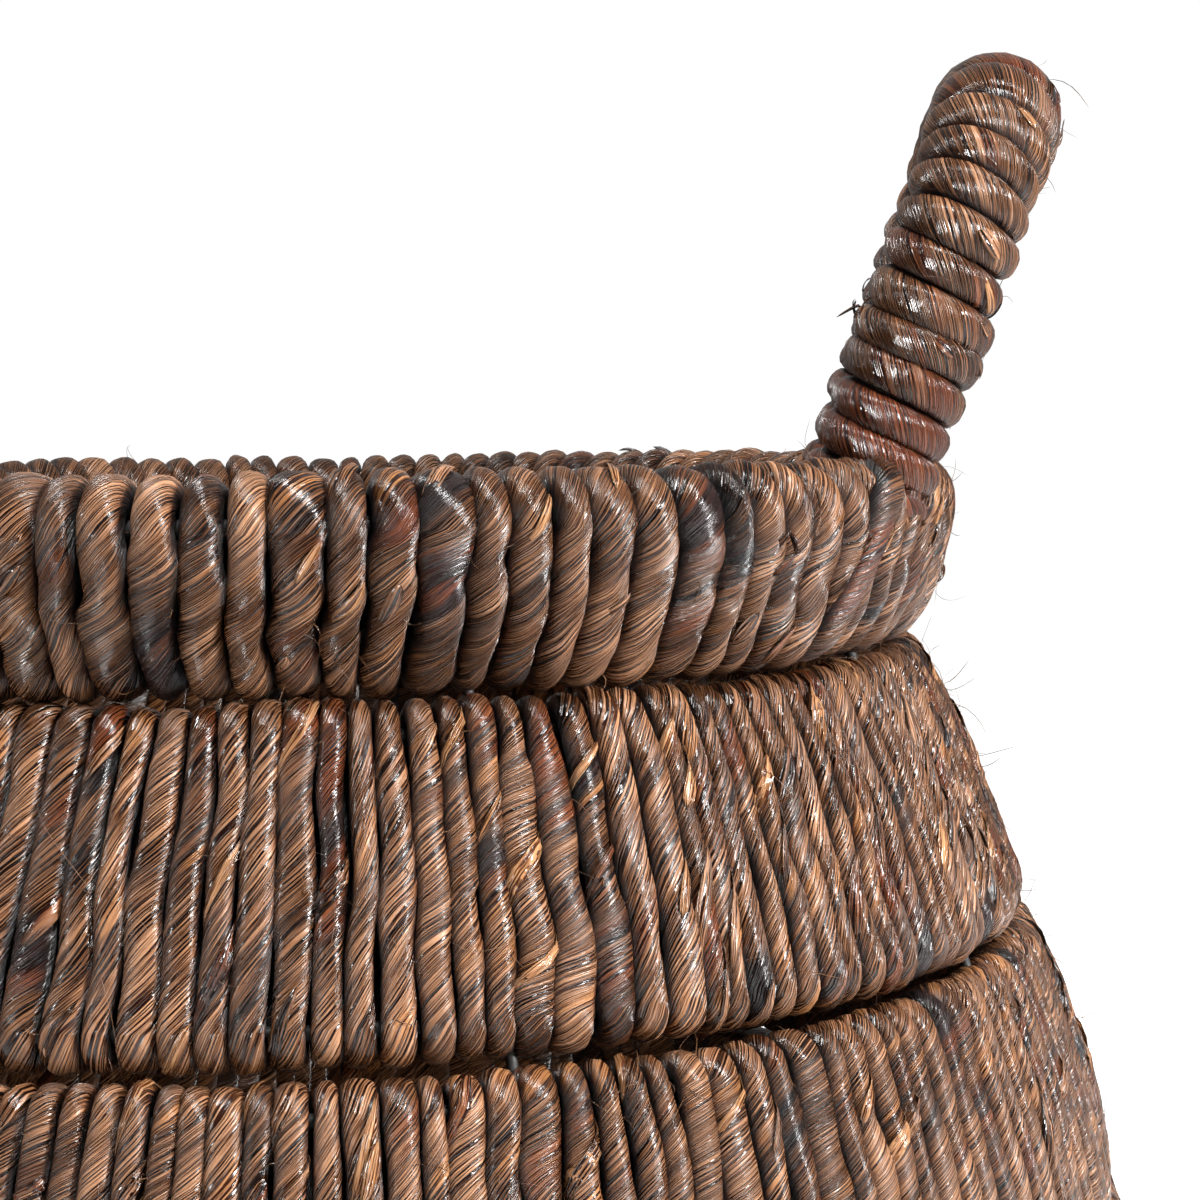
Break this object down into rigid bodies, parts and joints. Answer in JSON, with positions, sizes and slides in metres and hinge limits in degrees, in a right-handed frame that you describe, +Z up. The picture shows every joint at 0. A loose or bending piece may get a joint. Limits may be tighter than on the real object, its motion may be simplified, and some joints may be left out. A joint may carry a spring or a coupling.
{
  "type": "laundry basket",
  "caption": "Round-bellied laundry basket of rope wound in bands over a wire frame, with a thick rope rim and two upright wrapped handles.",
  "frame": {"origin": "on the floor under the middle of the basket", "axes": "+Z up; X runs through the middles of the two handles; Y runs across between them"},
  "size_m": [0.5194, 0.5194, 0.6008],
  "materials": {
    "band_rope": "twisted banana-fibre rope, dark brown, part glossy",
    "rim_rope": "thick twisted banana-fibre rope, brown, satin",
    "handle_rope": "thick twisted banana-fibre rope, reddish brown, glossy at the foot",
    "base_rope": "woven banana-fibre rope, matt",
    "frame_steel": "black lacquered steel wire",
    "cane": "bare bent cane"
  },
  "bodies": {
    "root": {"rim_upper_hoop": "frame_steel", "rim_lower_hoop": "frame_steel", "rim_ribs": "frame_steel", "rim_wrap": "rim_rope", "band_1_upper_hoop": "frame_steel", "band_1_lower_hoop": "frame_steel", "band_1_ribs": "frame_steel", "band_1_wrap": "band_rope", "band_2_upper_hoop": "frame_steel", "band_2_lower_hoop": "frame_steel", "band_2_ribs": "frame_steel", "band_2_wrap": "band_rope", "band_3_upper_hoop": "frame_steel", "band_3_lower_hoop": "frame_steel", "band_3_ribs": "frame_steel", "band_3_wrap": "band_rope", "band_4_upper_hoop": "frame_steel", "band_4_lower_hoop": "frame_steel", "band_4_ribs": "frame_steel", "band_4_wrap": "band_rope", "band_5_upper_hoop": "frame_steel", "band_5_lower_hoop": "frame_steel", "band_5_ribs": "frame_steel", "band_5_wrap": "band_rope", "seam_1_links": "frame_steel", "seam_2_links": "frame_steel", "seam_3_links": "frame_steel", "seam_4_links": "frame_steel", "seam_5_links": "frame_steel", "base_hoop": "frame_steel", "base_bars": "frame_steel", "base_weave": "base_rope", "base_binding": "base_rope", "base_links": "frame_steel", "handle_right_cane": "cane", "handle_right_pins": "frame_steel", "handle_right_wrap": "handle_rope", "handle_left_cane": "cane", "handle_left_pins": "frame_steel", "handle_left_wrap": "handle_rope"}
  },
  "joints": []
}
